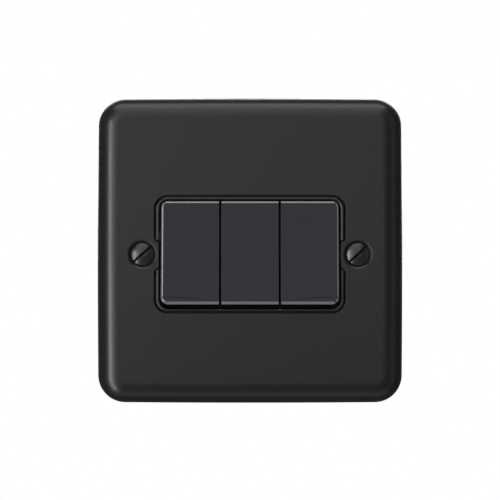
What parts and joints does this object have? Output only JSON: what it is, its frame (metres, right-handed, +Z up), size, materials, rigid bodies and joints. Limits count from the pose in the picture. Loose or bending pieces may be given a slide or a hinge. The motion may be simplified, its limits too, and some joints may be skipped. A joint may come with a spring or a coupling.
{
  "type": "rocker light switch",
  "caption": "Square matt black wall plate with a rounded raised edge, holding a row of gloss black rocker light switches between slotted fixing screws.",
  "frame": {"origin": "on the wall plane, midway between the fixing screws", "axes": "+Z up, -Y out of the wall towards the user, +Y into the wall box, +X right as seen from the front"},
  "size_m": [0.086, 0.0283, 0.086],
  "materials": {
    "matt_black_plate": "powder coated, smooth matt black",
    "black_bezel": "moulded, satin black",
    "gloss_black_rocker": "moulded, polished black",
    "dark_housing": "moulded, fine matt texture",
    "natural_nylon": "moulded, natural",
    "brass": "milled and stamped",
    "copper_blade": "stamped copper alloy",
    "silver_tip": "silver alloy rivet",
    "zinc_steel": "zinc plated",
    "spring_steel": "drawn spring wire",
    "black_screw": "black lacquered steel, glossy"
  },
  "bodies": {
    "base": {"face_plate": "matt_black_plate", "switch_frame": "black_bezel", "rear_housing": "dark_housing", "earth_terminal": "brass", "earth_screw": "zinc_steel", "l1_terminal_1": "brass", "l2_terminal_1": "brass", "common_terminal_1": "brass", "l1_screw_1": "zinc_steel", "l2_screw_1": "zinc_steel", "common_screw_1": "zinc_steel", "fixed_tip_upper_1": "silver_tip", "fixed_tip_lower_1": "silver_tip", "l1_terminal_2": "brass", "l2_terminal_2": "brass", "common_terminal_2": "brass", "l1_screw_2": "zinc_steel", "l2_screw_2": "zinc_steel", "common_screw_2": "zinc_steel", "fixed_tip_upper_2": "silver_tip", "fixed_tip_lower_2": "silver_tip", "l1_terminal_3": "brass", "l2_terminal_3": "brass", "common_terminal_3": "brass", "l1_screw_3": "zinc_steel", "l2_screw_3": "zinc_steel", "common_screw_3": "zinc_steel", "fixed_tip_upper_3": "silver_tip", "fixed_tip_lower_3": "silver_tip", "module_screw_1": "zinc_steel", "module_screw_2": "zinc_steel", "module_screw_3": "zinc_steel", "module_screw_4": "zinc_steel", "fixing_screw_left": "black_screw", "fixing_screw_right": "black_screw", "screw_washer_left": "natural_nylon", "screw_washer_right": "natural_nylon"},
    "rocker_body_1": {"rocker_1": "gloss_black_rocker", "plunger_spring_1": "spring_steel"},
    "plunger_body_1": {"plunger_1": "natural_nylon"},
    "contact_body_1": {"moving_contact_1": "copper_blade", "moving_tip_upper_1": "silver_tip", "moving_tip_lower_1": "silver_tip"},
    "rocker_body_2": {"rocker_2": "gloss_black_rocker", "plunger_spring_2": "spring_steel"},
    "plunger_body_2": {"plunger_2": "natural_nylon"},
    "contact_body_2": {"moving_contact_2": "copper_blade", "moving_tip_upper_2": "silver_tip", "moving_tip_lower_2": "silver_tip"},
    "rocker_body_3": {"rocker_3": "gloss_black_rocker", "plunger_spring_3": "spring_steel"},
    "plunger_body_3": {"plunger_3": "natural_nylon"},
    "contact_body_3": {"moving_contact_3": "copper_blade", "moving_tip_upper_3": "silver_tip", "moving_tip_lower_3": "silver_tip"}
  },
  "joints": [
    {"name": "rocker_1_switch", "type": "hinge", "parent": "base", "child": "rocker_body_1", "pos_m": [-0.0166, -0.0014, 0], "axis": [1, 0, 0], "range_deg": [0, 11]},
    {"name": "plunger_1_slide", "type": "slide", "parent": "rocker_body_1", "child": "plunger_body_1", "axis": [0, -0.9954, 0.0958], "range_m": [0, 0.001], "stiffness_N_per_m": 250, "springref_m": -0.002, "deforming": ["plunger_spring_1"]},
    {"name": "contact_1_seesaw", "type": "hinge", "parent": "base", "child": "contact_body_1", "pos_m": [-0.0166, 0.0081, 0], "axis": [1, 0, 0], "range_deg": [-11, 0]},
    {"name": "rocker_2_switch", "type": "hinge", "parent": "base", "child": "rocker_body_2", "pos_m": [0, -0.0014, 0], "axis": [1, 0, 0], "range_deg": [0, 11]},
    {"name": "plunger_2_slide", "type": "slide", "parent": "rocker_body_2", "child": "plunger_body_2", "axis": [0, -0.9954, 0.0958], "range_m": [0, 0.001], "stiffness_N_per_m": 250, "springref_m": -0.002, "deforming": ["plunger_spring_2"]},
    {"name": "contact_2_seesaw", "type": "hinge", "parent": "base", "child": "contact_body_2", "pos_m": [0, 0.0081, 0], "axis": [1, 0, 0], "range_deg": [-11, 0]},
    {"name": "rocker_3_switch", "type": "hinge", "parent": "base", "child": "rocker_body_3", "pos_m": [0.0166, -0.0014, 0], "axis": [1, 0, 0], "range_deg": [0, 11]},
    {"name": "plunger_3_slide", "type": "slide", "parent": "rocker_body_3", "child": "plunger_body_3", "axis": [0, -0.9954, 0.0958], "range_m": [0, 0.001], "stiffness_N_per_m": 250, "springref_m": -0.002, "deforming": ["plunger_spring_3"]},
    {"name": "contact_3_seesaw", "type": "hinge", "parent": "base", "child": "contact_body_3", "pos_m": [0.0166, 0.0081, 0], "axis": [1, 0, 0], "range_deg": [-11, 0]}
  ],
  "couplings": [
    {"joint": "contact_1_seesaw", "follows": "rocker_1_switch", "ratio": -1},
    {"joint": "contact_2_seesaw", "follows": "rocker_2_switch", "ratio": -1},
    {"joint": "contact_3_seesaw", "follows": "rocker_3_switch", "ratio": -1}
  ]
}
